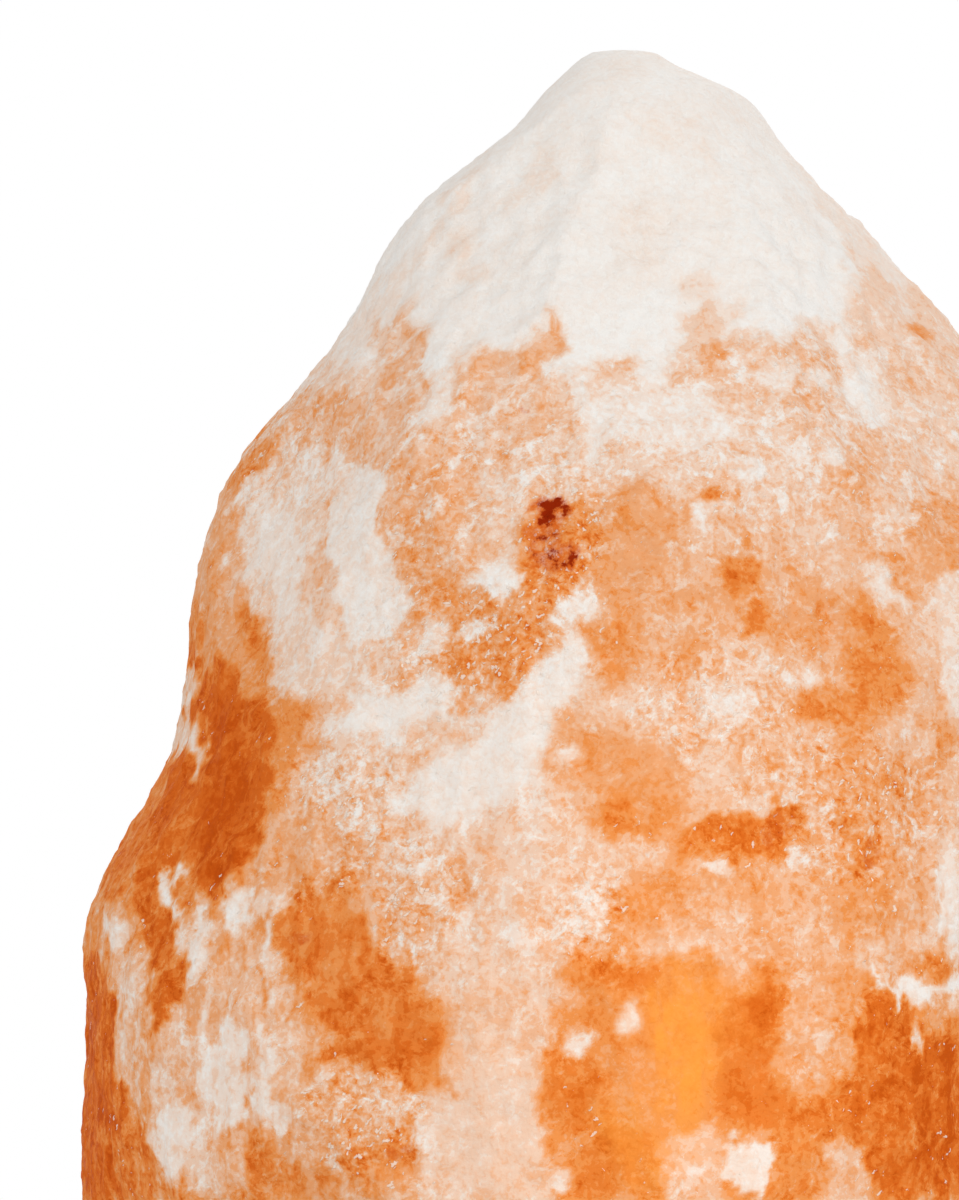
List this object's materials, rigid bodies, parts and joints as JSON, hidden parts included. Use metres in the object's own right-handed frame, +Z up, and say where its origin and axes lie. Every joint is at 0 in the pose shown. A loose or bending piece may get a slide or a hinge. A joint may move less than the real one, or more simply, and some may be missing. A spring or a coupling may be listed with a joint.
{
  "type": "salt crystal lamp",
  "caption": "Salt crystal table lamp: a rough hewn block of rock salt on a round turned wooden base, lit from inside by a small screw bulb in a pull-out spring holder.",
  "frame": {"origin": "centre of the surface that the lamp stands on, under the axis of the bulb's bore", "axes": "+Z up along the bulb's bore, -Y is the front, the cord's channel leaves at +Y, +X is the lamp's right"},
  "size_m": [0.1492, 0.132, 0.222],
  "materials": {
    "rock_salt": "matte",
    "turned_wood": "satin",
    "foot_rubber": "matte",
    "zinc_steel": "satin",
    "spring_steel": "satin",
    "grey_nylon": "matte",
    "holder_brass": "satin",
    "black_moulding": "satin",
    "white_ceramic": "matte",
    "contact_bronze": "satin",
    "solder": "satin",
    "black_glass": "gloss",
    "nickel_cap": "satin",
    "clear_glass": "gloss",
    "stem_glass": "gloss",
    "lead_wire": "satin",
    "tungsten": "satin"
  },
  "bodies": {
    "lamp": {"salt_crystal": "rock_salt", "wood_base": "turned_wood", "rubber_feet": "foot_rubber", "base_screws": "zinc_steel", "screw_washers": "zinc_steel", "screw_plugs": "grey_nylon"},
    "holder": {"bracket_plate": "zinc_steel", "finger_clips": "spring_steel", "clip_rivets": "zinc_steel", "cord_nipple": "holder_brass", "lock_nut": "zinc_steel", "lock_washer": "spring_steel", "socket_cap": "black_moulding", "socket_core": "white_ceramic", "socket_shell": "black_moulding", "thread_liner": "holder_brass", "terminal_screws": "holder_brass"},
    "finger_left": {"spring_finger_left": "spring_steel"},
    "finger_front": {"spring_finger_front": "spring_steel"},
    "finger_right": {"spring_finger_right": "spring_steel"},
    "contact": {"centre_contact": "contact_bronze"},
    "bulb_foot": {"bulb_tip_contact": "solder", "bulb_insulator": "black_glass"},
    "bulb": {"bulb_cap": "nickel_cap", "bulb_glass": "clear_glass", "bulb_stem": "stem_glass", "lead_wires": "lead_wire", "filament": "tungsten", "filament_supports": "tungsten"}
  },
  "joints": [
    {"name": "holder_pull", "type": "slide", "parent": "lamp", "child": "holder", "axis": [0, 0, 1], "range_m": [-0.11, 0]},
    {"name": "finger_left_squeeze", "type": "hinge", "parent": "holder", "child": "finger_left", "pos_m": [-0.01758, 0.01015, 0.02565], "axis": [0.5, 0.866, 0], "range_deg": [0, 8], "stiffness_Nm_per_rad": 0.4, "springref_deg": -5.16},
    {"name": "finger_front_squeeze", "type": "hinge", "parent": "holder", "child": "finger_front", "pos_m": [0, -0.0203, 0.02565], "axis": [-1, 0, 0], "range_deg": [0, 8], "stiffness_Nm_per_rad": 0.4, "springref_deg": -5.16},
    {"name": "finger_right_squeeze", "type": "hinge", "parent": "holder", "child": "finger_right", "pos_m": [0.01758, 0.01015, 0.02565], "axis": [0.5, -0.866, 0], "range_deg": [0, 8], "stiffness_Nm_per_rad": 0.4, "springref_deg": -5.16},
    {"name": "contact_press", "type": "hinge", "parent": "holder", "child": "contact", "pos_m": [-0.0075, 0, 0.0394], "axis": [0, 1, 0], "range_deg": [0, 5], "stiffness_Nm_per_rad": 0.02, "springref_deg": -5.73},
    {"name": "bulb_lift", "type": "slide", "parent": "holder", "child": "bulb_foot", "axis": [0, 0, 1], "range_m": [0, 0.0114]},
    {"name": "bulb_turn", "type": "hinge", "parent": "bulb_foot", "child": "bulb", "pos_m": [0, 0, 0.045], "axis": [0, 0, 1], "range_deg": [0, 1440]}
  ],
  "couplings": [
    {"joint": "bulb_lift", "follows": "bulb_turn", "m_per_rad": 0.00044917}
  ]
}
